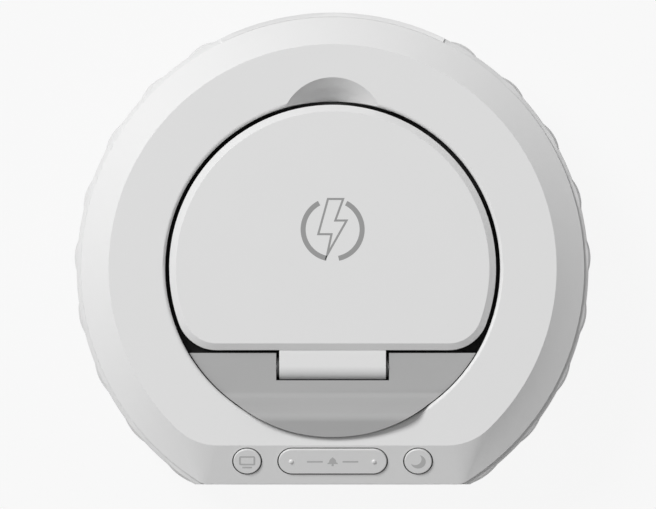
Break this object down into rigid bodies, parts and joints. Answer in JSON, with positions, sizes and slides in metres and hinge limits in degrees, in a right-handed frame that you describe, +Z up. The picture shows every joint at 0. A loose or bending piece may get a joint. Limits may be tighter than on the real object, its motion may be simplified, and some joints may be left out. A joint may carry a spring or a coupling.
{
  "type": "bedside alarm clock with charging pad",
  "caption": "Low round bedside alarm clock with a flat display front, lobed night-light bands, sloping front buttons and a flip-up wireless charging pad.",
  "frame": {"origin": "on the axis of the round case, at the table: the middle of the base mat's underside", "axes": "+Z up; the flat display front faces -Y; +X to the right of someone who faces the display"},
  "size_m": [0.1514, 0.1381, 0.0511],
  "materials": {
    "case_white": "fine satin, light grey-white",
    "pad_white": "fine satin, light grey-white",
    "tray_dark": "matt black",
    "ledge_grey": "matt silicone",
    "button_white": "satin",
    "key_grey": "satin",
    "mat_rubber": "matt, dimpled",
    "diffuser": "opal, finely reeded",
    "window_smoke": "smoked, polished",
    "display_black": "matt black",
    "board_green": "solder mask",
    "switch_black": "matt",
    "copper": "varnished winding",
    "ferrite": "matt",
    "steel": "bright",
    "ballast_steel": "plain plate",
    "bush_plastic": "black",
    "lamp_strip": "white board with lamps",
    "speaker_black": "matt"
  },
  "bodies": {
    "case": {"top_shell": "case_white", "lower_housing": "case_white", "front_panel": "case_white", "rear_panel": "case_white", "pad_tray": "tray_dark", "phone_ledge": "ledge_grey", "base_mat": "mat_rubber", "light_band_left": "diffuser", "light_band_right": "diffuser", "display_window": "window_smoke", "display_module": "display_black", "button_board": "board_green", "key_board": "board_green", "main_board": "board_green", "button_switches": "switch_black", "key_switches": "switch_black", "cell_holder": "switch_black", "hinge_pin": "steel", "case_screws": "steel", "tray_screws": "steel", "board_screws": "steel", "backup_cell": "steel", "power_socket": "steel", "ballast_plate": "ballast_steel", "led_strip_left": "lamp_strip", "led_strip_right": "lamp_strip", "speaker": "speaker_black"},
    "flip_pad": {"pad_top_cover": "pad_white", "pad_bottom_cover": "pad_white", "charge_coil": "copper", "ferrite_plate": "ferrite", "pad_circuit_board": "board_green", "pad_screws": "steel", "hinge_bush_left": "bush_plastic", "hinge_bush_right": "bush_plastic"},
    "display_button": {"display_button": "button_white"},
    "snooze_button": {"snooze_button": "button_white"},
    "night_light_button": {"night_light_button": "button_white"},
    "set_key": {"set_key": "key_grey"},
    "minus_key": {"minus_key": "key_grey"},
    "plus_key": {"plus_key": "key_grey"}
  },
  "joints": [
    {"name": "pad_flip", "type": "hinge", "parent": "case", "child": "flip_pad", "pos_m": [0, -0.0288, 0.0428], "axis": [1, 0, 0], "range_deg": [0, 65]},
    {"name": "display_press", "type": "slide", "parent": "case", "child": "display_button", "axis": [0, 0.4661, -0.8847], "range_m": [0, 0.0005], "stiffness_N_per_m": 600},
    {"name": "snooze_press", "type": "slide", "parent": "case", "child": "snooze_button", "axis": [0, 0.4661, -0.8847], "range_m": [0, 0.0005], "stiffness_N_per_m": 600},
    {"name": "night_light_press", "type": "slide", "parent": "case", "child": "night_light_button", "axis": [0, 0.4661, -0.8847], "range_m": [0, 0.0005], "stiffness_N_per_m": 600},
    {"name": "set_press", "type": "slide", "parent": "case", "child": "set_key", "axis": [0, -1, 0], "range_m": [0, 0.0006], "stiffness_N_per_m": 600},
    {"name": "minus_press", "type": "slide", "parent": "case", "child": "minus_key", "axis": [0, -1, 0], "range_m": [0, 0.0006], "stiffness_N_per_m": 600},
    {"name": "plus_press", "type": "slide", "parent": "case", "child": "plus_key", "axis": [0, -1, 0], "range_m": [0, 0.0006], "stiffness_N_per_m": 600}
  ]
}
